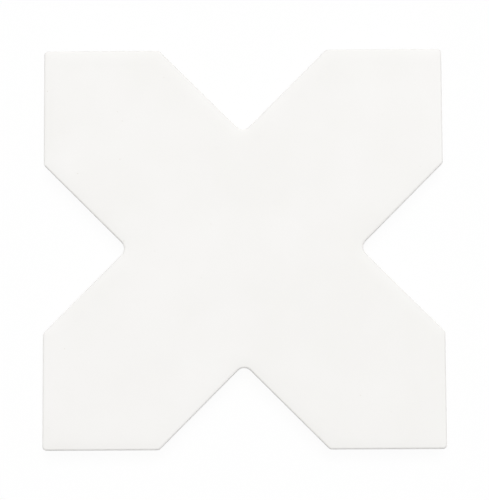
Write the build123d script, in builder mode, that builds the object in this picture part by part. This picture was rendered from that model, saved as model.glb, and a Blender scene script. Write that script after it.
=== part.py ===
from build123d import *
import os
from math import floor, sqrt

# Cross-shaped porcelain tile, dry-pressed and fired as one piece. It lies face up on its keyed back.
# The origin is the middle of the back, +Z points out of the face, and X and Y run square to the edges
# of the four arm tips, so the arms lie on the diagonals. Lengths are in millimetres, angles in degrees.

# Outline: a square with a right-angled notch in each side, which leaves four arms of one width
side = 120.0
arm_width = 49.1
thickness = 9.0

# Corners of the outline, seen from above
tip_radius = 1.2
shoulder_radius = 1.5
notch_radius = 2.7

# Edges of the section: the sides draw in towards the back, as the die needs to let the tile go
face_edge_radius = 1.0
back_edge_bevel = 0.6
side_draft = 1.0

# Key of the back: a plain rim and ribs in line with the arms, with shallow cells pressed between them
rim_width = 4.0
rib_pitch = 10.8
rib_width = 2.2
cell_depth = 0.7
cell_draft = 30.0
least_cell_width = 2.0

# Ribs run both ways through the middle of the back, as far out as the arm tips
half_diagonal = side / sqrt(2)
rib_count = 2 * floor(half_diagonal / rib_pitch) + 1
least_cell_area = least_cell_width * (rib_pitch - rib_width)


def draw_cross(across, arm):
    """Draws the cross in the sketch at hand: a bar on each diagonal, both cut to one square."""
    for turn in (45, -45):
        Rectangle(arm, across * sqrt(2), rotation=turn)
    Rectangle(across, across, mode=Mode.INTERSECT)


with BuildPart() as cross_tile:
    # Pressed body, with the corners of its outline rounded from the arm tips inwards
    with BuildSketch() as outline:
        draw_cross(side, arm_width)
        fillet(outline.vertices().group_by(SortBy.DISTANCE)[-1], radius=tip_radius)
        fillet(outline.vertices().group_by(SortBy.DISTANCE)[1], radius=shoulder_radius)
        fillet(outline.vertices().group_by(SortBy.DISTANCE)[0], radius=notch_radius)
    extrude(amount=thickness)
    widest = Plane.XY.offset(thickness - face_edge_radius)
    draft(cross_tile.faces().filter_by(Axis.Z, reverse=True), widest, -side_draft)

    # Soft edge all round the face, and a small bevel round the back
    fillet(cross_tile.faces().sort_by(Axis.Z)[-1].edges(), radius=face_edge_radius)
    chamfer(cross_tile.faces().sort_by(Axis.Z)[0].edges(), length=back_edge_bevel)

    # Key of the back: what the rim and the ribs leave is pressed in, without the narrowest cells
    with BuildSketch(mode=Mode.PRIVATE) as key:
        draw_cross(side - 2 * rim_width, arm_width - 2 * rim_width)
        for turn in (45, -45):
            with Locations(Rotation(0, 0, turn)):
                with GridLocations(rib_pitch, 0, rib_count, 1):
                    Rectangle(rib_width, 2 * half_diagonal, mode=Mode.SUBTRACT)
    cells = key.faces().filter_by(lambda cell: cell.area > least_cell_area)
    extrude(cells, amount=cell_depth, taper=cell_draft, mode=Mode.SUBTRACT)

cross_tile.part.label = "cross_tile"

os.makedirs("parts", exist_ok=True)
export_step(cross_tile.part, "parts/cross_tile.step")
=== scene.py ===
"""Looks of a cross-shaped porcelain tile that lies face up, seen from almost straight above.

The tile was pressed and fired as one piece, so it is one mesh: a face with soft edges under a matt white
glaze, sides where the glaze runs out, and a bare back with ribs and shallow cells that key into its bed.
"""

import logging
import math
from dataclasses import dataclass, field
from enum import Enum
from functools import partial
from typing import Callable, NamedTuple, Union

import bmesh
import bpy
from bpy.types import Material, Modifier, Node, NodeSocket, NodeTree, Object, World
from mathutils import Matrix, Vector


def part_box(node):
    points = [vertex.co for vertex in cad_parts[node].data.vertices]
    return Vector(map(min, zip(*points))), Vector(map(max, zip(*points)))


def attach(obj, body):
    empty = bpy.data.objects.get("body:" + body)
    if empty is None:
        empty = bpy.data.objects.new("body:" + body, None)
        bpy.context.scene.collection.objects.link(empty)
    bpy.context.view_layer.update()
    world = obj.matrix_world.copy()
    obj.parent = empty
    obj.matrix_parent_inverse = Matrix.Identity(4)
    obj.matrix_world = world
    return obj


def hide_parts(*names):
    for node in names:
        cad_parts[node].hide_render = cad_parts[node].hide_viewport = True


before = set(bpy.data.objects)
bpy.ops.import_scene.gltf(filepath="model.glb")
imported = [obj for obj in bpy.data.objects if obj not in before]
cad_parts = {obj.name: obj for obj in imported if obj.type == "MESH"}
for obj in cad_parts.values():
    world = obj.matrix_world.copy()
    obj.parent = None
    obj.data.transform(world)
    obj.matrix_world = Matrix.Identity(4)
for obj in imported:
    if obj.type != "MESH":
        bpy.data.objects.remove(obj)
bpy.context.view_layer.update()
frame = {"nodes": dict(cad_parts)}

MM = 0.001
QUARTERS = 4
RIGHT_ANGLE = math.pi / 2

NODE = "cross_tile"
BODY = "root"
PIECE = "glazed_cross_tile"
EDGE_DISTANCE = "from_edge"

log = logging.getLogger(PIECE)

Source = Union[Node, NodeSocket, Material, float, int, str, tuple, list]
Inputs = dict[Union[str, int], Source]
Adder = Callable[..., Node]
Point = tuple[float, float, float]


class Paint(Enum):
    """The colours of the tile and its floor, as sRGB hex values."""

    GLAZE = "#F7F6F4"
    GLAZE_CLOUD = "#F3F2EF"
    GLAZE_THIN = "#EBE9E5"
    PINHOLE = "#D9D3C8"
    BISCUIT = "#EDE9E1"
    BISCUIT_CLOUD = "#E2DBCF"
    SPECK = "#9A8B77"
    KILN_WASH = "#F4F2ED"
    FLOOR = "#F8F8F8"
    WHITE = "#FFFFFF"


class Corner(Enum):
    """The corners of a quarter of the outline, counter-clockwise seen from above."""

    NOTCH = 0
    FIRST_SHOULDER = 1
    TIP = 2
    SECOND_SHOULDER = 3


class Where(Enum):
    """On which side of a height something lies, as the comparison that finds it."""

    ABOVE = "GREATER_THAN"
    BELOW = "LESS_THAN"


class Span(NamedTuple):
    """A stretch of values, from its start to its end."""

    start: float
    end: float

    @property
    def taken(self) -> dict[str, float]:
        """The stretch as what a node that maps values takes in."""
        return {"From Min": self.start, "From Max": self.end}

    @property
    def given(self) -> dict[str, float]:
        """The stretch as what a node that maps values gives out."""
        return {"To Min": self.start, "To Max": self.end}


class Layers(NamedTuple):
    """What a finish gives the shader at each point of the surface. The height is in metres."""

    colour: Source
    roughness: Source
    height: Source


# Nearly all values of a noise lie in this stretch
NOISE_SPREAD = Span(0.3, 0.7)


def linear(paint: Paint) -> tuple[float, float, float, float]:
    """Turns an sRGB hex colour into a linear one.

    Args:
        paint: the colour.

    Returns:
        Red, green, blue and an alpha of 1.
    """
    shares = [int(paint.value[at:at + 2], 16) / 255 for at in (1, 3, 5)]
    # The curve of sRGB has a straight foot, and is a power above it
    red, green, blue = (s / 12.92 if s <= 0.04045 else ((s + 0.055) / 1.055) ** 2.4 for s in shares)
    return red, green, blue, 1.0


def per_metre(size: float) -> float:
    """Counts how many of a size in millimetres make a metre, which is the scale of a pattern."""
    return 1 / (size * MM)


def add_node(tree: NodeTree, kind: str, inputs: Inputs | None = None, **settings: object) -> Node:
    """Adds one node to a tree, with its settings and what goes into it.

    Args:
        tree: the tree that gets the node.
        kind: the node's type.
        inputs: by a socket's name, or its place among the sockets in use, a value or what is linked to
            it, or a list of what is linked to it together.
        settings: the node's own properties by name.

    Returns:
        The new node.
    """
    node = tree.nodes.new(kind)
    for name, setting in settings.items():
        setattr(node, name, setting)
    for key, given in (inputs or {}).items():
        in_use = [socket for socket in node.inputs if socket.enabled]
        socket = in_use[key] if isinstance(key, int) else next(s for s in in_use if s.name == key)
        for value in given if isinstance(given, list) else [given]:
            if isinstance(value, Node):
                value = next(output for output in value.outputs if output.enabled)
            if isinstance(value, NodeSocket):
                tree.links.new(value, socket)
            else:
                socket.default_value = value
    return node


def start_nodes(owner: Union[Material, World]) -> Adder:
    """Clears the node tree of a material or of the world.

    Args:
        owner: the material or the world.

    Returns:
        The function that adds nodes to that tree.
    """
    owner.use_nodes = True
    owner.node_tree.nodes.clear()
    return partial(add_node, owner.node_tree)


def apply_modifier(piece: Object, modifier: Modifier) -> None:
    """Keeps what a modifier gives as the plain mesh of its object.

    Args:
        piece: the object.
        modifier: its only modifier, which is then removed.
    """
    graph = bpy.context.evaluated_depsgraph_get()
    shaped = piece.evaluated_get(graph)
    mesh = bpy.data.meshes.new_from_object(shaped, preserve_all_data_layers=True, depsgraph=graph)
    piece.modifiers.remove(modifier)
    piece.data = mesh


def turn_outwards(piece: Object) -> None:
    """Turns the faces of a piece outwards, and reports whether it is closed.

    Args:
        piece: the object.
    """
    work = bmesh.new()
    work.from_mesh(piece.data)
    bmesh.ops.recalc_face_normals(work, faces=work.faces)
    open_edges = sum(not edge.is_manifold for edge in work.edges)
    work.to_mesh(piece.data)
    work.free()
    log.info("%s has %d open edges", piece.name, open_edges)


@dataclass
class ShapeTree:
    """A tree of geometry nodes with named inputs, and the plain mesh that it gives, in metres."""

    name: str
    tree: NodeTree = field(init=False)
    add: Adder = field(init=False)
    sizes: Node = field(init=False)
    values: dict[str, Source] = field(init=False, default_factory=dict)

    def __post_init__(self) -> None:
        """Makes the empty tree, and the function that adds nodes to it."""
        self.tree = bpy.data.node_groups.new(self.name, "GeometryNodeTree")
        self.add = partial(add_node, self.tree)
        self.tree.interface.new_socket("Geometry", in_out="OUTPUT", socket_type="NodeSocketGeometry")
        self.sizes = self.add("NodeGroupInput")

    def size(self, name: str, value: Source) -> NodeSocket:
        """Adds a named input to the tree.

        Args:
            name: what the input is called.
            value: what it is set to: a whole number, a number, a point or a material.

        Returns:
            The socket that gives the value inside the tree.
        """
        kinds = {int: "NodeSocketInt", float: "NodeSocketFloat", tuple: "NodeSocketVector"}
        kind = kinds.get(type(value), "NodeSocketMaterial")
        item = self.tree.interface.new_socket(name, in_out="INPUT", socket_type=kind)
        self.values[item.identifier] = value
        return next(socket for socket in self.sizes.outputs if socket.identifier == item.identifier)

    def height(self) -> NodeSocket:
        """Adds a field of each point's height."""
        spot = self.add("GeometryNodeInputPosition")
        return self.add("ShaderNodeSeparateXYZ", {0: spot}).outputs["Z"]

    def levelled(self) -> Node:
        """Adds a field of each point's place with no height."""
        spot = self.add("GeometryNodeInputPosition")
        return self.add("ShaderNodeVectorMath", {0: spot, 1: (1.0, 1.0, 0.0)}, operation="MULTIPLY")

    def per_corner(self, what: str, values: dict[Corner, Source]) -> Node:
        """Adds a field that gives each point of the outline the value of its corner.

        Args:
            what: what the values are, for the names of the inputs.
            values: a point or a length for each corner.

        Returns:
            The node that gives the value.
        """
        index = self.add("GeometryNodeInputIndex")
        corner = self.add("FunctionNodeIntegerMath", {0: index, 1: len(Corner)}, operation="MODULO")
        kind = "VECTOR" if isinstance(values[Corner.NOTCH], tuple) else "FLOAT"
        pick = self.add("GeometryNodeIndexSwitch", {"Index": corner}, data_type=kind)
        while len(pick.index_switch_items) < len(Corner):
            pick.index_switch_items.new()
        for place in Corner:
            name = f"{place.name.replace('_', ' ').capitalize()} {what}"
            self.tree.links.new(self.size(name, values[place]), pick.inputs[str(place.value)])
        return pick

    def sweep(self, rail: Node, stretches: list[Node]) -> Node:
        """Adds the mesh of a section that follows a closed curve.

        Args:
            rail: the curve, counter-clockwise from above.
            stretches: the curves of the section, with X as the inset from the rail and Y as the height.

        Returns:
            The node that gives the mesh.
        """
        section = self.add("GeometryNodeJoinGeometry", {"Geometry": stretches})
        turned = self.add("GeometryNodeTransform", {"Geometry": section, "Rotation": (0.0, 0.0, math.pi)})
        return self.add("GeometryNodeCurveToMesh", {"Curve": rail, "Profile Curve": turned})

    def open_loops(self, mesh: Source, where: Where, height: float) -> Node:
        """Adds the curves along the open edges of a mesh on one side of a height.

        Args:
            mesh: the mesh.
            where: the side of the height that counts.
            height: the height.

        Returns:
            The node that gives the curves.
        """
        faces = self.add("GeometryNodeInputMeshEdgeNeighbors")
        single = self.add("FunctionNodeCompare", {"A": faces, "B": 1}, data_type="INT", operation="EQUAL")
        beyond = self.add("FunctionNodeCompare", {"A": self.height(), "B": height}, operation=where.value)
        both = self.add("FunctionNodeBooleanMath", {0: single, 1: beyond}, operation="AND")
        return self.add("GeometryNodeMeshToCurve", {"Mesh": mesh, "Selection": both})

    def distance_to(self, rail: Node) -> NodeSocket:
        """Adds a field of the distance to a curve on the floor, measured level.

        Args:
            rail: the curve.

        Returns:
            The socket that gives the distance.
        """
        wire = self.add("GeometryNodeCurveToMesh", {"Curve": rail})
        near = self.add("GeometryNodeProximity", {"Geometry": wire, "Sample Position": self.levelled()},
                        target_element="EDGES")
        return near.outputs["Distance"]

    def make(self, result: Node) -> Object:
        """Runs the tree and keeps what it gives as an object with a plain mesh.

        Args:
            result: the node whose geometry is the finished shape.

        Returns:
            The object, at the origin and with no modifier.
        """
        self.add("NodeGroupOutput", {0: result})
        made = bpy.data.objects.new(self.name, bpy.data.meshes.new(self.name))
        bpy.context.scene.collection.objects.link(made)
        modifier = made.modifiers.new(self.name, "NODES")
        modifier.node_group = self.tree
        for identifier, value in self.values.items():
            modifier[identifier] = value
        apply_modifier(made, modifier)
        return made


def fired_material(name: str, layers: Callable[[Adder], Layers], ior: float) -> Material:
    """Makes a material from the layers of a fired finish.

    Args:
        name: what the material is and how it was made.
        layers: adds the layers to the material.
        ior: the index of refraction of the surface.

    Returns:
        The material.
    """
    material = bpy.data.materials.new(name)
    add = start_nodes(material)
    finish = layers(add)
    relief = add("ShaderNodeBump", {"Strength": 1.0, "Distance": 1.0, "Height": finish.height})
    shader = add("ShaderNodeBsdfPrincipled", {"Base Color": finish.colour, "Roughness": finish.roughness,
                                              "IOR": ior, "Normal": relief})
    add("ShaderNodeOutputMaterial", {"Surface": shader})
    return material


@dataclass(frozen=True)
class BareBiscuit:
    """Porcelain body, dry-pressed and fired without glaze.

    It gives the eye a warm off-white that is chalky and a little cloudy, with fine grain, a few dark
    grains of iron and faint upright marks from the die, and on the back a thin white wash in streaks,
    which kept the tile off the kiln's rollers. Sizes are in millimetres, shares and tones from 0 to 1.
    """

    # Clouds in the pressed powder
    cloud: float = 9.0
    cloud_tones: Span = Span(0.38, 0.66)
    cloud_share: float = 0.6

    # Marks that the die leaves as the tile is pushed out
    drag_width: float = 0.5
    drag_length: float = 9.0
    drag_height: float = 0.008
    drag_share: float = 0.3

    # Grains of iron
    speck_spacing: float = 3.2
    speck_radius: float = 0.16
    speck_share: float = 0.6

    # Wash on the ribs and the rim of the back, rubbed along by the rollers
    wash_length: float = 26.0
    wash_width: float = 2.6
    wash_reach: float = 0.25
    wash_tones: Span = Span(0.42, 0.62)
    wash_share: float = 0.85

    # Grain, drawn several times coarser than the real one so that it shows
    grain: float = 0.35
    grain_height: float = 0.006
    roughness: Span = Span(0.78, 0.92)
    ior: float = 1.5

    def coloured(self, add: Adder, place: NodeSocket, drag: Node) -> Node:
        """Adds the body's colour, with its clouds, the marks of the die and the grains of iron.

        Args:
            add: adds a node to the material.
            place: where a point is on the tile.
            drag: the marks of the die.

        Returns:
            The node that gives the colour.
        """
        cloud = add("ShaderNodeTexNoise", {"Vector": place, "Scale": per_metre(self.cloud), "Detail": 3.0})
        shade = add("ShaderNodeMix", {"Factor": self.drag_share, "A": cloud, "B": drag})
        amount = add("ShaderNodeMapRange",
                     {"Value": shade, **self.cloud_tones.taken, "To Max": self.cloud_share})
        body = add("ShaderNodeMix", {"Factor": amount, "A": linear(Paint.BISCUIT),
                                     "B": linear(Paint.BISCUIT_CLOUD)}, data_type="RGBA")
        cells = add("ShaderNodeTexVoronoi", {"Vector": place, "Scale": per_metre(self.speck_spacing)})
        speck = add("ShaderNodeMapRange",
                    {"Value": cells, "From Max": self.speck_radius / self.speck_spacing,
                     "To Min": self.speck_share, "To Max": 0.0})
        return add("ShaderNodeMix", {"Factor": speck, "A": body, "B": linear(Paint.SPECK)},
                   data_type="RGBA")

    def washed(self, add: Adder, place: NodeSocket, body: Node) -> Node:
        """Adds the wash over the body's colour, as high as it reaches.

        Args:
            add: adds a node to the material.
            place: where a point is on the tile.
            body: the body's colour.

        Returns:
            The node that gives the colour.
        """
        along = (per_metre(self.wash_length), per_metre(self.wash_width), 0.0)
        rolled = add("ShaderNodeVectorMath", {0: place, 1: along}, operation="MULTIPLY")
        streak = add("ShaderNodeTexNoise", {"Vector": rolled, "Scale": 1.0, "Detail": 4.0})
        wash = add("ShaderNodeMapRange",
                   {"Value": streak, **self.wash_tones.taken, "To Max": self.wash_share})
        height = add("ShaderNodeSeparateXYZ", {0: place}).outputs["Z"]
        low = add("ShaderNodeMapRange",
                  {"Value": height, "From Max": self.wash_reach * MM, "To Min": 1.0, "To Max": 0.0})
        on_land = add("ShaderNodeMath", {0: wash, 1: low}, operation="MULTIPLY")
        return add("ShaderNodeMix", {"Factor": on_land, "A": body, "B": linear(Paint.KILN_WASH)},
                   data_type="RGBA")

    def layers(self, add: Adder) -> Layers:
        """Adds the body's colour, roughness and grain to a material.

        Args:
            add: adds a node to the material.

        Returns:
            The nodes that carry them.
        """
        place = add("ShaderNodeTexCoord").outputs["Object"]
        upright = (per_metre(self.drag_width), per_metre(self.drag_width), per_metre(self.drag_length))
        dragged = add("ShaderNodeVectorMath", {0: place, 1: upright}, operation="MULTIPLY")
        drag = add("ShaderNodeTexNoise", {"Vector": dragged, "Scale": 1.0, "Detail": 2.0})
        colour = self.washed(add, place, self.coloured(add, place, drag))

        grain = add("ShaderNodeTexNoise", {"Vector": place, "Scale": per_metre(self.grain), "Detail": 2.0})
        rough = add("ShaderNodeMapRange", {"Value": grain, **NOISE_SPREAD.taken, **self.roughness.given})
        scored = add("ShaderNodeMath", {0: drag, 1: self.drag_height * MM}, operation="MULTIPLY")
        relief = add("ShaderNodeMath", {0: grain, 1: self.grain_height * MM, 2: scored},
                     operation="MULTIPLY_ADD")
        return Layers(colour, rough, relief)

    def make(self) -> Material:
        """Makes the material of the bare back."""
        return fired_material("porcelain_biscuit_pressed_fired", self.layers, self.ior)


@dataclass(frozen=True)
class MattGlaze:
    """Matt white glaze, sprayed on the face and fired with the body.

    It gives the eye an even, almost neutral white with a broad dull sheen, a skin that is barely dimpled,
    a few pinholes, and a warmer, thinner line on the edges, where the melt pulls away. On the sides it
    ends in a soft uneven line, below which the bare body shows. Sizes are in millimetres, shares and
    tones from 0 to 1.
    """

    body: BareBiscuit

    # Coat: faint clouds, and edges where it is thin
    coat: float = 0.1
    cloud: float = 22.0
    cloud_tones: Span = Span(0.35, 0.65)
    cloud_share: float = 0.5
    thin_reach: float = 0.6
    thin_share: float = 0.35

    # Pinholes, where gas left the melt
    pinhole_spacing: float = 5.0
    pinhole_radius: float = 0.2
    pinhole_depth: float = 0.04

    # Skin: shallow dimples, and a tooth, drawn several times coarser than the real one so that it shows
    dimple: float = 1.7
    dimple_height: float = 0.005
    tooth: float = 0.4
    tooth_height: float = 0.002
    roughness: Span = Span(0.6, 0.7)
    ior: float = 1.5

    # Foot: the line where the coat ends
    foot: float = 5.2
    foot_wander: float = 2.4
    foot_wave: float = 13.0
    foot_raggedness: float = 0.6
    foot_blur: float = 0.7

    # Mist of the spray below the foot: drops where a noise is over a level, which falls towards the foot
    mist_reach: float = 3.5
    mist_dot: float = 0.35
    mist_levels: Span = Span(0.62, 0.42)
    mist_blur: float = 0.1
    mist_share: float = 0.7

    def cover(self, add: Adder, place: NodeSocket) -> tuple[Node, Node]:
        """Adds the shares of the surface that the coat covers, and the coat with its mist.

        The coat lies on all of the face and ends in a wandering line on the sides.

        Args:
            add: adds a node to the material.
            place: where a point is on the tile.

        Returns:
            The nodes that give the two shares.
        """
        wave = add("ShaderNodeTexNoise", {"Vector": place, "Scale": per_metre(self.foot_wave),
                                          "Detail": 5.0, "Roughness": self.foot_raggedness})
        wander = 2 * self.foot_wander * MM
        line = add("ShaderNodeMath", {0: wave, 1: wander, 2: self.foot * MM - wander / 2},
                   operation="MULTIPLY_ADD")
        height = add("ShaderNodeSeparateXYZ", {0: place}).outputs["Z"]
        above = add("ShaderNodeMath", {0: height, 1: line}, operation="SUBTRACT")
        coat = add("ShaderNodeMapRange", {"Value": above, "From Max": self.foot_blur * MM},
                   interpolation_type="SMOOTHSTEP")

        dots = add("ShaderNodeTexNoise",
                   {"Vector": place, "Scale": per_metre(self.mist_dot), "Detail": 1.0})
        level = add("ShaderNodeMapRange", {"Value": above, **Span(-self.mist_reach * MM, 0.0).taken,
                                           **self.mist_levels.given})
        wet = add("ShaderNodeMath", {0: dots, 1: level}, operation="SUBTRACT")
        mist = add("ShaderNodeMapRange",
                   {"Value": wet, "From Max": self.mist_blur, "To Max": self.mist_share},
                   interpolation_type="SMOOTHSTEP")
        return coat, add("ShaderNodeMath", {0: coat, 1: mist}, operation="MAXIMUM")

    def coloured(self, add: Adder, place: NodeSocket, hole: Node) -> Node:
        """Adds the coat's colour, with its clouds, its thin edges and the pinholes.

        Args:
            add: adds a node to the material.
            place: where a point is on the tile.
            hole: the pinholes.

        Returns:
            The node that gives the colour.
        """
        cloud = add("ShaderNodeTexNoise", {"Vector": place, "Scale": per_metre(self.cloud), "Detail": 2.0})
        amount = add("ShaderNodeMapRange",
                     {"Value": cloud, **self.cloud_tones.taken, "To Max": self.cloud_share})
        clouded = add("ShaderNodeMix", {"Factor": amount, "A": linear(Paint.GLAZE),
                                        "B": linear(Paint.GLAZE_CLOUD)}, data_type="RGBA")
        from_edge = add("ShaderNodeAttribute", attribute_name=EDGE_DISTANCE).outputs["Fac"]
        thin = add("ShaderNodeMapRange", {"Value": from_edge, "From Max": self.thin_reach * MM,
                                          "To Min": self.thin_share, "To Max": 0.0},
                   interpolation_type="SMOOTHSTEP")
        edged = add("ShaderNodeMix", {"Factor": thin, "A": clouded, "B": linear(Paint.GLAZE_THIN)},
                    data_type="RGBA")
        return add("ShaderNodeMix", {"Factor": hole, "A": edged, "B": linear(Paint.PINHOLE)},
                   data_type="RGBA")

    def layers(self, add: Adder) -> Layers:
        """Adds the glaze's colour, roughness and skin to a material, over those of the body.

        Args:
            add: adds a node to the material.

        Returns:
            The nodes that carry them.
        """
        place = add("ShaderNodeTexCoord").outputs["Object"]
        cells = add("ShaderNodeTexVoronoi", {"Vector": place, "Scale": per_metre(self.pinhole_spacing)})
        hole = add("ShaderNodeMapRange",
                   {"Value": cells, "From Max": self.pinhole_radius / self.pinhole_spacing,
                    "To Min": 1.0, "To Max": 0.0}, interpolation_type="SMOOTHSTEP")
        colour = self.coloured(add, place, hole)

        # The skin has the tooth and the dimples on the height of the coat, and the pinholes in it
        dimple = add("ShaderNodeTexNoise",
                     {"Vector": place, "Scale": per_metre(self.dimple), "Detail": 1.0})
        tooth = add("ShaderNodeTexNoise", {"Vector": place, "Scale": per_metre(self.tooth), "Detail": 2.0})
        rough = add("ShaderNodeMapRange", {"Value": tooth, **NOISE_SPREAD.taken, **self.roughness.given})
        skin: Source = self.coat * MM
        for relief, height in ((tooth, self.tooth_height), (dimple, self.dimple_height),
                               (hole, -self.pinhole_depth)):
            skin = add("ShaderNodeMath", {0: relief, 1: height * MM, 2: skin}, operation="MULTIPLY_ADD")

        # The coat lies over the body as far down as it reaches
        bare = self.body.layers(add)
        coat, covered = self.cover(add, place)
        return Layers(
            add("ShaderNodeMix", {"Factor": covered, "A": bare.colour, "B": colour}, data_type="RGBA"),
            add("ShaderNodeMix", {"Factor": covered, "A": bare.roughness, "B": rough}),
            add("ShaderNodeMix", {"Factor": coat, "A": bare.height, "B": skin}))

    def make(self) -> Material:
        """Makes the material of the glazed face and the sides."""
        return fired_material("porcelain_matt_white_glaze_fired", self.layers, self.ior)


@dataclass
class CrossTile:
    """The tile, shaped by one geometry tree that sweeps its edge, fills its face and presses its back.

    Lengths are in millimetres, angles in degrees. Its outline is a square with a right-angled notch in
    each side, which leaves four arms of one width on the diagonals.
    """

    side: float
    thickness: float
    arm_width: float = 49.1
    notch_radius: float = 2.7
    shoulder_radius: float = 1.5
    tip_radius: float = 1.2

    # Edge: a rounded arris, a side that draws in towards the back, and a bevel round the back
    arris_radius: float = 0.7
    side_draft: float = 1.0
    back_bevel: float = 0.6

    # Face: it falls away towards its edge in a parabola, and is not quite flat
    cushion_width: float = 4.0
    cushion_drop: float = 0.22
    waviness: float = 0.04
    wave_length: float = 45.0
    seed: int = 7

    # Key of the back: a plain rim and ribs in line with the arms, with shallow cells pressed between them
    rim_width: float = 4.0
    rib_pitch: float = 10.8
    rib_width: float = 2.2
    cell_depth: float = 0.7
    cell_draft: float = 30.0
    cell_corner: float = 0.9
    cell_rounding: float = 0.3

    # Fineness of the mesh
    step: float = 1.0
    corner_segments: int = 8
    side_rows: int = 6
    arris_rows: int = 9
    rounding_rows: int = 4
    cell_segments: int = 2
    weld: float = 0.02
    crease: float = 35.0

    @classmethod
    def from_frame(cls) -> "CrossTile":
        """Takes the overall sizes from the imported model."""
        low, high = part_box(NODE)
        return cls(side=(high.x - low.x) / MM, thickness=(high.z - low.z) / MM)

    @property
    def edge_slope(self) -> float:
        """The slope of the face where its arris starts, in radians."""
        fall = 2 * self.cushion_drop / self.cushion_width
        return math.atan(fall * (1 - self.arris_radius / self.cushion_width))

    @property
    def widest_height(self) -> float:
        """Works out where the tile is widest.

        Returns:
            The height at which the arris meets the side.
        """
        inset = self.arris_radius * (1 - math.sin(self.edge_slope))
        arris_top = self.thickness - self.cushion_drop * (1 - inset / self.cushion_width) ** 2
        return arris_top - self.arris_radius * math.cos(self.edge_slope)

    def outline(self, shape: ShapeTree) -> Node:
        """Adds the widest outline of the tile as a closed curve on the floor, counter-clockwise.

        Args:
            shape: the tree.

        Returns:
            The node that gives the curve.
        """
        add = shape.add
        half = self.side / 2 * MM
        root = self.arm_width / math.sqrt(2) * MM
        corners = {Corner.NOTCH: (root, 0.0, 0.0), Corner.FIRST_SHOULDER: (half, half - root, 0.0),
                   Corner.TIP: (half, half, 0.0), Corner.SECOND_SHOULDER: (half - root, half, 0.0)}
        radii = {Corner.NOTCH: self.notch_radius * MM, Corner.FIRST_SHOULDER: self.shoulder_radius * MM,
                 Corner.TIP: self.tip_radius * MM, Corner.SECOND_SHOULDER: self.shoulder_radius * MM}

        # A quarter of the outline is placed by its corners, and turned to each of the four sides
        ring = add("GeometryNodeCurvePrimitiveCircle", {"Resolution": QUARTERS * len(Corner)})
        index = add("GeometryNodeInputIndex")
        quarter = add("FunctionNodeIntegerMath", {0: index, 1: len(Corner)}, operation="DIVIDE")
        turn = add("ShaderNodeMath", {0: quarter, 1: RIGHT_ANGLE}, operation="MULTIPLY")
        spot = shape.per_corner("place", corners)
        place = add("ShaderNodeVectorRotate", {"Vector": spot, "Angle": turn}, rotation_type="Z_AXIS")
        sharp = add("GeometryNodeSetPosition", {"Geometry": ring, "Position": place})
        segments = shape.size("Segments of a corner", self.corner_segments)
        radius = shape.per_corner("radius", radii)
        rounded = add("GeometryNodeFilletCurve",
                      {"Curve": sharp, "Count": segments, "Radius": radius}, mode="POLY")

        # Straight runs are divided into steps
        onward = add("GeometryNodeOffsetPointInCurve", {"Point Index": index, "Offset": 1})
        here = add("GeometryNodeInputPosition")
        there = add("GeometryNodeFieldAtIndex", {"Value": here, "Index": onward.outputs["Point Index"]},
                    data_type="FLOAT_VECTOR")
        run = add("ShaderNodeVectorMath", {0: here, 1: there}, operation="DISTANCE")
        step = shape.size("Step along the edge", self.step * MM)
        cuts = add("ShaderNodeMath", {0: run, 1: step}, operation="DIVIDE")
        stepped = add("GeometryNodeSubdivideCurve", {"Curve": rounded, "Cuts": cuts})
        return add("GeometryNodeSetCurveNormal", {"Curve": stepped}, mode="Z_UP")

    def edge(self, shape: ShapeTree, rail: Node) -> Node:
        """Adds the tile's edge: the bevel of the back, the side and the arris.

        Args:
            shape: the tree.
            rail: the widest outline.

        Returns:
            The node that gives the mesh.
        """
        add = shape.add
        radius = self.arris_radius * MM
        widest = self.widest_height * MM
        bevel = self.back_bevel * MM
        drawn_in = (widest - bevel) * math.tan(math.radians(self.side_draft))
        foot = shape.size("Foot of the bevel", (drawn_in + bevel, 0.0, 0.0))
        bevel_top = shape.size("Top of the bevel", (drawn_in, bevel, 0.0))
        side_top = shape.size("Top of the side", (0.0, widest, 0.0))
        rows = shape.size("Rows of the side", self.side_rows)
        bevel_line = add("GeometryNodeCurvePrimitiveLine", {"Start": foot, "End": bevel_top})
        side_line = add("GeometryNodeCurvePrimitiveLine", {"Start": bevel_top, "End": side_top})
        side_rows = add("GeometryNodeResampleCurve", {"Curve": side_line, "Count": rows})
        arc = add("GeometryNodeCurveArc",
                  {"Resolution": shape.size("Rows of the arris", self.arris_rows),
                   "Radius": shape.size("Arris radius", radius), "Start Angle": math.pi,
                   "Sweep Angle": shape.size("Turn of the arris", self.edge_slope - RIGHT_ANGLE)})
        centre = shape.size("Centre of the arris", (radius, widest, 0.0))
        arris = add("GeometryNodeTransform", {"Geometry": arc, "Translation": centre})
        return shape.sweep(rail, [bevel_line, side_rows, arris])

    def face(self, shape: ShapeTree, edge: Node, distance: NodeSocket) -> Node:
        """Adds the face: a square lattice, and a band that joins it to the arris.

        Args:
            shape: the tree.
            edge: the mesh of the tile's edge.
            distance: the field of the distance to the outline.

        Returns:
            The node that gives the mesh.
        """
        add = shape.add
        arris_middle = self.widest_height + self.arris_radius / 2
        raised = shape.open_loops(edge, Where.ABOVE, arris_middle * MM)
        border = add("GeometryNodeSetPosition", {"Geometry": raised, "Position": shape.levelled()})

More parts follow.
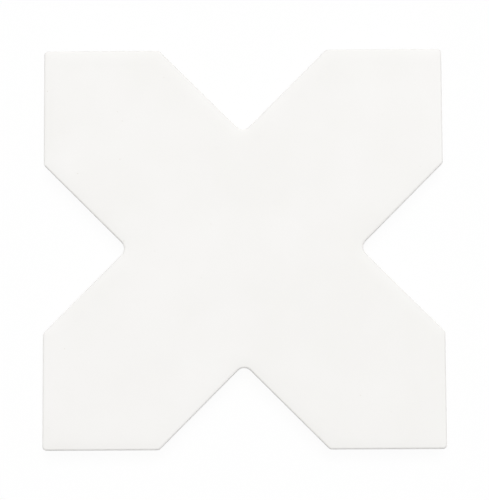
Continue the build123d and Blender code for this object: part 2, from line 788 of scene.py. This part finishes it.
        # Squares of the lattice that lie clear of the border
        count = round(self.side / self.step) + 1
        across = shape.size("Width of the lattice", (count - 1) * self.step * MM)
        lines = shape.size("Lines of the lattice", count)
        lattice = add("GeometryNodeMeshGrid", {"Size X": across, "Size Y": across,
                                               "Vertices X": lines, "Vertices Y": lines})
        inside = add("GeometryNodeFillCurve", {"Curve": border}, mode="TRIANGLES")
        off_face = add("GeometryNodeProximity", {"Geometry": inside}, target_element="FACES")
        on_face = add("FunctionNodeCompare", {"A": off_face.outputs["Distance"], "B": self.weld * MM},
                      operation="LESS_THAN")
        margin = shape.size("Clear of the arris", self.step * MM)
        clear = add("FunctionNodeCompare", {"A": shape.distance_to(border), "B": margin},
                    operation="GREATER_THAN")
        keep = add("FunctionNodeBooleanMath", {0: on_face, 1: clear}, operation="AND")
        squares = add("GeometryNodeSeparateGeometry", {"Geometry": lattice, "Selection": keep},
                      domain="FACE").outputs["Selection"]

        rim = shape.open_loops(squares, Where.BELOW, self.thickness * MM)
        loops = add("GeometryNodeJoinGeometry", {"Geometry": [border, rim]})
        band = add("GeometryNodeFillCurve", {"Curve": loops}, mode="TRIANGLES")
        sheet = add("GeometryNodeJoinGeometry", {"Geometry": [squares, band]})
        lift = add("ShaderNodeCombineXYZ", {"Z": self.face_height(shape, distance)})
        return add("GeometryNodeSetPosition", {"Geometry": sheet, "Offset": lift})

    def face_height(self, shape: ShapeTree, distance: NodeSocket) -> Node:
        """Adds a field of the face's height: full in the middle, less towards the edge, a little wavy.

        Args:
            shape: the tree.
            distance: the field of the distance to the outline.

        Returns:
            The node that gives the height.
        """
        add = shape.add
        full = shape.size("Thickness", self.thickness * MM)
        width = shape.size("Width of the cushion", self.cushion_width * MM)
        drop = shape.size("Drop of the cushion", self.cushion_drop * MM)
        inward = add("ShaderNodeMapRange", {"Value": distance, "From Max": width})
        outward = add("ShaderNodeMath", {0: 1.0, 1: inward}, operation="SUBTRACT")
        bowed = add("ShaderNodeMath", {0: outward, 1: 2.0}, operation="POWER")
        fall = add("ShaderNodeMath", {0: bowed, 1: drop}, operation="MULTIPLY")
        depth = shape.size("Waviness", self.waviness * MM)
        scale = shape.size("Waves in a metre", per_metre(self.wave_length))
        noise = add("ShaderNodeTexNoise", {"W": shape.size("Seed", self.seed), "Scale": scale,
                                           "Detail": 1.0}, noise_dimensions="4D")
        wave = add("ShaderNodeMath", {0: noise, 1: depth}, operation="MULTIPLY")
        lost = add("ShaderNodeMath", {0: wave, 1: inward, 2: fall}, operation="MULTIPLY_ADD")
        return add("ShaderNodeMath", {0: full, 1: lost}, operation="SUBTRACT")

    def cells(self, shape: ShapeTree) -> Node:
        """Adds the outlines of the cells of the back, as closed curves on the floor.

        They stand in rows in line with the arms, so they are laid out with the arms along X and Y, cut off
        at the rim, and then turned to the diagonals.

        Args:
            shape: the tree.

        Returns:
            The node that gives the curves.
        """
        add = shape.add
        reach = (self.side / 2 - self.rim_width) * math.sqrt(2) * MM
        half_arm = (self.arm_width / 2 - self.rim_width) * MM
        limit = shape.size("Reach of the key along an arm", reach)
        breadth = shape.size("Reach of the key across an arm", half_arm)

        # How far out a point lies, towards the sides of the square and across its arm
        spot = add("GeometryNodeInputPosition")
        away = add("ShaderNodeVectorMath", {0: spot}, operation="ABSOLUTE")
        parts = add("ShaderNodeSeparateXYZ", {0: away}).outputs
        total = add("ShaderNodeMath", {0: parts["X"], 1: parts["Y"]}, operation="ADD")
        least = add("ShaderNodeMath", {0: parts["X"], 1: parts["Y"]}, operation="MINIMUM")
        in_reach = add("FunctionNodeCompare", {"A": total, "B": limit}, operation="LESS_THAN")
        in_arm = add("FunctionNodeCompare", {"A": least, "B": breadth}, operation="LESS_THAN")
        kept = add("FunctionNodeBooleanMath", {0: in_reach, 1: in_arm}, operation="AND")

        # One cell on each place of a grid
        width = shape.size("Cell width", (self.rib_pitch - self.rib_width) * MM)
        radius = shape.size("Cell corner", self.cell_corner * MM)
        segments = shape.size("Segments of a cell corner", self.cell_segments)
        square = add("GeometryNodeCurvePrimitiveQuadrilateral", {"Width": width, "Height": width})
        cell = add("GeometryNodeFilletCurve",
                   {"Curve": square, "Count": segments, "Radius": radius}, mode="POLY")
        count = 2 * math.ceil(reach / (self.rib_pitch * MM))
        across = shape.size("Width of the key", (count - 1) * self.rib_pitch * MM)
        rows = shape.size("Rows of cells", count)
        grid = add("GeometryNodeMeshGrid", {"Size X": across, "Size Y": across,
                                            "Vertices X": rows, "Vertices Y": rows})
        placed = add("GeometryNodeInstanceOnPoints",
                     {"Points": grid, "Selection": kept, "Instance": cell})
        real = add("GeometryNodeRealizeInstances", {"Geometry": placed})

        past = add("ShaderNodeMath", {0: total, 1: limit}, operation="SUBTRACT")
        clipped = add("GeometryNodeSetPosition",
                      {"Geometry": real, "Position": self.cut_at_rim(shape, past)})
        turned = add("GeometryNodeTransform",
                     {"Geometry": clipped, "Rotation": (0.0, 0.0, RIGHT_ANGLE / 2)})
        return add("GeometryNodeSetCurveNormal", {"Curve": turned}, mode="Z_UP")

    def cut_at_rim(self, shape: ShapeTree, past: Node) -> Node:
        """Adds a field that slides a point past the rim back to it, along its own side of its cell.

        Args:
            shape: the tree.
            past: the field of how far a point is past the rim.

        Returns:
            The node that gives the place of each point.
        """
        add = shape.add
        spot = add("GeometryNodeInputPosition")
        excess = add("ShaderNodeMath", {0: past, 1: 0.0}, operation="MAXIMUM")

        # A side runs along X if it is further from the middle of its cell in Y than in X, and else along Y
        pitch = shape.size("Rib pitch", self.rib_pitch * MM)
        in_rows = add("ShaderNodeVectorMath", {0: spot, 1: pitch}, operation="DIVIDE")
        part = add("ShaderNodeVectorMath", {0: in_rows}, operation="FRACTION")
        middled = add("ShaderNodeVectorMath", {0: part, 1: (0.5, 0.5, 0.0)}, operation="SUBTRACT")
        local = add("ShaderNodeVectorMath", {0: middled}, operation="ABSOLUTE")
        parts = add("ShaderNodeSeparateXYZ", {0: local}).outputs
        on_row = add("FunctionNodeCompare", {"A": parts["Y"], "B": parts["X"]}, operation="GREATER_THAN")
        slide = add("GeometryNodeSwitch", {"Switch": on_row, "False": (0.0, 1.0, 0.0),
                                           "True": (1.0, 0.0, 0.0)}, input_type="VECTOR")
        outward = add("ShaderNodeVectorMath", {0: spot}, operation="SIGN")
        way = add("ShaderNodeVectorMath", {0: outward, 1: slide}, operation="MULTIPLY")
        shift = add("ShaderNodeVectorMath", {0: way, "Scale": excess}, operation="SCALE")
        return add("ShaderNodeVectorMath", {0: spot, 1: shift}, operation="SUBTRACT")

    def cell_section(self, shape: ShapeTree) -> list[Node]:
        """Adds the section of a cell: a rounded lip, a drafted wall and a rounding up to the floor.

        Args:
            shape: the tree.

        Returns:
            The nodes that give the curves, with X as the inset and Y as the height.
        """
        add = shape.add
        draft = math.radians(self.cell_draft)
        turn = RIGHT_ANGLE - draft
        radius = self.cell_rounding * MM
        depth = self.cell_depth * MM
        lip_width = radius * math.cos(draft)
        lip_height = radius * (1 - math.sin(draft))
        wall_width = (depth - 2 * lip_height) * math.tan(draft)

        rounding = shape.size("Rounding of a cell", radius)
        rows = shape.size("Rows of a rounding", self.rounding_rows)
        lip_arc = add("GeometryNodeCurveArc",
                      {"Resolution": rows, "Radius": rounding, "Start Angle": -RIGHT_ANGLE,
                       "Sweep Angle": shape.size("Turn of the lip", turn)})
        lip_centre = shape.size("Centre of the lip", (0.0, radius, 0.0))
        lip = add("GeometryNodeTransform", {"Geometry": lip_arc, "Translation": lip_centre})
        wall_foot = shape.size("Foot of the cell wall", (lip_width, lip_height, 0.0))
        wall_top = shape.size("Top of the cell wall", (lip_width + wall_width, depth - lip_height, 0.0))
        wall = add("GeometryNodeCurvePrimitiveLine", {"Start": wall_foot, "End": wall_top})
        floor_arc = add("GeometryNodeCurveArc",
                        {"Resolution": rows, "Radius": rounding, "Start Angle": RIGHT_ANGLE + turn,
                         "Sweep Angle": shape.size("Turn to the floor", -turn)})
        floor_centre = shape.size("Centre by the floor", (2 * lip_width + wall_width, depth - radius, 0.0))
        by_floor = add("GeometryNodeTransform", {"Geometry": floor_arc, "Translation": floor_centre})
        return [lip, wall, by_floor]

    def key(self, shape: ShapeTree, edge: Node) -> Node:
        """Adds the back: the land of its rim and ribs, and the cells with their floors.

        Args:
            shape: the tree.
            edge: the mesh of the tile's edge.

        Returns:
            The node that gives the mesh.
        """
        add = shape.add
        cells = self.cells(shape)
        pans = shape.sweep(cells, self.cell_section(shape))
        foot = shape.open_loops(edge, Where.BELOW, self.back_bevel / 2 * MM)
        loops = add("GeometryNodeJoinGeometry", {"Geometry": [foot, cells]})
        land = add("GeometryNodeFillCurve", {"Curve": loops}, mode="TRIANGLES")
        floor_loops = shape.open_loops(pans, Where.ABOVE, (self.cell_depth - self.weld) * MM)
        fill = add("GeometryNodeFillCurve", {"Curve": floor_loops}, mode="NGONS")
        floor_height = shape.size("Height of the cell floors", (0.0, 0.0, self.cell_depth * MM))
        floors = add("GeometryNodeTransform", {"Geometry": fill, "Translation": floor_height})
        return add("GeometryNodeJoinGeometry", {"Geometry": [land, pans, floors]})

    def dress(self, shape: ShapeTree, mesh: Node, glaze: Material, biscuit: Material) -> Node:
        """Adds the finishes: glaze on the face and the sides, bare body on the back.

        Args:
            shape: the tree.
            mesh: the mesh of the whole tile.
            glaze: the material of the face and the sides.
            biscuit: the material of the back.

        Returns:
            The node that gives the dressed mesh.
        """
        add = shape.add
        coat = shape.size("Glaze", glaze)
        glazed = add("GeometryNodeSetMaterial", {"Geometry": mesh, "Material": coat})
        back_top = shape.size("Top of the back", (max(self.cell_depth, self.back_bevel) + self.weld) * MM)
        on_back = add("FunctionNodeCompare", {"A": shape.height(), "B": back_top},
                      operation=Where.BELOW.value)
        bare = shape.size("Biscuit", biscuit)
        return add("GeometryNodeSetMaterial",
                   {"Geometry": glazed, "Selection": on_back, "Material": bare})

    def build(self, glaze: Material, biscuit: Material) -> Object:
        """Builds the tile and dresses it.

        Args:
            glaze: the material of the face and the sides.
            biscuit: the material of the back.

        Returns:
            The tile.
        """
        shape = ShapeTree(PIECE)
        add = shape.add
        rail = self.outline(shape)
        edge = self.edge(shape, rail)
        distance = shape.distance_to(rail)
        face = self.face(shape, edge, distance)
        key = self.key(shape, edge)
        joined = add("GeometryNodeJoinGeometry", {"Geometry": [edge, face, key]})
        weld = shape.size("Weld", self.weld * MM)
        welded = add("GeometryNodeMergeByDistance", {"Geometry": joined, "Distance": weld})
        marked = add("GeometryNodeStoreNamedAttribute",
                     {"Geometry": welded, "Name": EDGE_DISTANCE, "Value": distance})
        smooth = add("GeometryNodeSetShadeSmooth", {"Geometry": marked})
        real = add("GeometryNodeRealizeInstances", {"Geometry": smooth})
        tile = shape.make(self.dress(shape, real, glaze, biscuit))
        turn_outwards(tile)
        self.shade(tile)
        return tile

    def shade(self, tile: Object) -> None:
        """Keeps sharp edges sharp, and broad faces flat up to the roundings beside them.

        Areas as small as these are in square metres are passed over when normals are weighed, so the tile
        is weighed at its size in millimetres.

        Args:
            tile: the tile.
        """
        tile.data.set_sharp_from_angle(angle=math.radians(self.crease))
        tile.data.transform(Matrix.Scale(1 / MM, 4))
        weighing = tile.modifiers.new("broad_faces_lead", "WEIGHTED_NORMAL")
        weighing.mode = "FACE_AREA"
        weighing.keep_sharp = True
        apply_modifier(tile, weighing)
        tile.data.transform(Matrix.Scale(MM, 4))


def seen(add: Adder) -> Node:
    """Adds a value that is 1 for what the camera sees, by itself or mirrored, and 0 for light.

    Args:
        add: adds a node to the floor's material or to the world.

    Returns:
        The node that gives the value.
    """
    path = add("ShaderNodeLightPath").outputs
    mirrored = add("ShaderNodeMath", {0: path["Is Glossy Ray"], 1: path["Is Transmission Ray"]},
                   operation="MAXIMUM")
    return add("ShaderNodeMath", {0: path["Is Camera Ray"], 1: mirrored}, operation="MAXIMUM")


@dataclass
class Studio:
    """A white floor under plain soft light, and the camera, in millimetres and degrees."""

    # Light of the room as a share of white, and what is left of it straight in front and straight behind
    fill: float = 0.667
    fill_front: float = 0.05
    fill_back: float = 0.35

    # Soft lamp as a share of white, tilted from overhead to the back and turned from there to the right
    key_share: float = 0.567
    key_distance: float = 6000.0
    key_size: float = 3000.0
    key_tilt: float = 22.0
    key_turn: float = 9.0

    # Floor, and the share of its white that no shadow darkens
    floor_size: float = 6000.0
    floor_glow: float = 0.95

    # Camera, almost straight above and a little nearer to the tile's lower edge
    camera_place: Point = (3.74, -31.78, 437.2)
    camera_turn: Point = (4.1555, 0.4818, -0.2969)
    focal_length: float = 103.42
    sensor: float = 36.0

    def light_room(self) -> None:
        """Adds the light of the room, weakest from the front, and shows the room itself as plain white."""
        world = bpy.data.worlds.new("white_room")
        bpy.context.scene.world = world
        add = start_nodes(world)
        direction = add("ShaderNodeTexCoord").outputs["Generated"]
        depth = add("ShaderNodeSeparateXYZ", {0: direction}).outputs["Y"]
        front = add("ShaderNodeMapRange",
                    {"Value": depth, **Span(-1.0, 0.0).taken, "To Min": self.fill_front})
        back = add("ShaderNodeMapRange",
                   {"Value": depth, **Span(self.fill, self.fill * self.fill_back).given})
        graded = add("ShaderNodeMath", {0: front, 1: back}, operation="MULTIPLY")
        strength = add("ShaderNodeMix", {"Factor": seen(add), "A": graded, "B": 1.0})
        room = add("ShaderNodeBackground", {"Color": linear(Paint.WHITE), "Strength": strength})
        add("ShaderNodeOutputWorld", {"Surface": room})

    def hang_lamp(self) -> None:
        """Hangs one large soft lamp above and behind the tile."""
        tilt = math.radians(self.key_tilt)
        turn = math.radians(self.key_turn)
        distance = self.key_distance * MM
        back = math.sin(tilt)
        towards = Vector((back * math.sin(turn), back * math.cos(turn), math.cos(tilt)))
        lamp = bpy.data.lights.new("soft_key", "AREA")
        lamp.shape = "DISK"
        lamp.size = self.key_size * MM
        # At this power a white floor under the lamp alone has the lamp's share of white
        lamp.energy = self.key_share * (math.pi * distance) ** 2 / math.cos(tilt)
        key = bpy.data.objects.new("soft_key", lamp)
        key.location = towards * distance
        key.rotation_euler = towards.to_track_quat("Z", "Y").to_euler()
        bpy.context.scene.collection.objects.link(key)

    def lay_floor(self) -> None:
        """Lays the floor, which looks white to the camera and still takes the tile's shadow."""
        mesh = bpy.data.meshes.new("floor")
        work = bmesh.new()
        bmesh.ops.create_grid(work, x_segments=1, y_segments=1, size=self.floor_size / 2 * MM)
        work.to_mesh(mesh)
        work.free()
        material = bpy.data.materials.new("floor_white_paper")
        add = start_nodes(material)
        paper = add("ShaderNodeBsdfDiffuse", {"Color": linear(Paint.FLOOR)})
        glow = add("ShaderNodeEmission", {"Color": linear(Paint.WHITE), "Strength": 1.0})
        share = add("ShaderNodeMath", {0: seen(add), 1: self.floor_glow}, operation="MULTIPLY")
        mixed = add("ShaderNodeMixShader", {0: share, 1: paper, 2: glow})
        add("ShaderNodeOutputMaterial", {"Surface": mixed})
        mesh.materials.append(material)
        floor = bpy.data.objects.new("floor", mesh)
        bpy.context.scene.collection.objects.link(floor)

    def place_camera(self) -> None:
        """Places the camera at the angle and distance of the picture."""
        lens = bpy.data.cameras.new("camera")
        lens.sensor_fit = "VERTICAL"
        lens.sensor_width = self.sensor
        lens.sensor_height = self.sensor
        lens.lens = self.focal_length
        camera = bpy.data.objects.new("camera", lens)
        camera.location = Vector(self.camera_place) * MM
        camera.rotation_euler = [math.radians(angle) for angle in self.camera_turn]
        bpy.context.scene.collection.objects.link(camera)
        bpy.context.scene.camera = camera


def main() -> None:
    """Builds the tile, then the light, floor and camera around it."""
    logging.basicConfig(level=logging.INFO, format="%(name)s: %(message)s")
    bpy.context.scene.view_settings.view_transform = "Standard"
    log.info("the packed model has the nodes %s", ", ".join(frame["nodes"]))

    body = BareBiscuit()
    tile = CrossTile.from_frame().build(MattGlaze(body).make(), body.make())
    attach(tile, BODY)
    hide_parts(NODE)
    log.info("%s has %d faces", tile.name, len(tile.data.polygons))

    studio = Studio()
    studio.light_room()
    studio.hang_lamp()
    studio.lay_floor()
    studio.place_camera()
    log.info("light, floor and camera are placed")


if __name__ == "__main__":
    main()
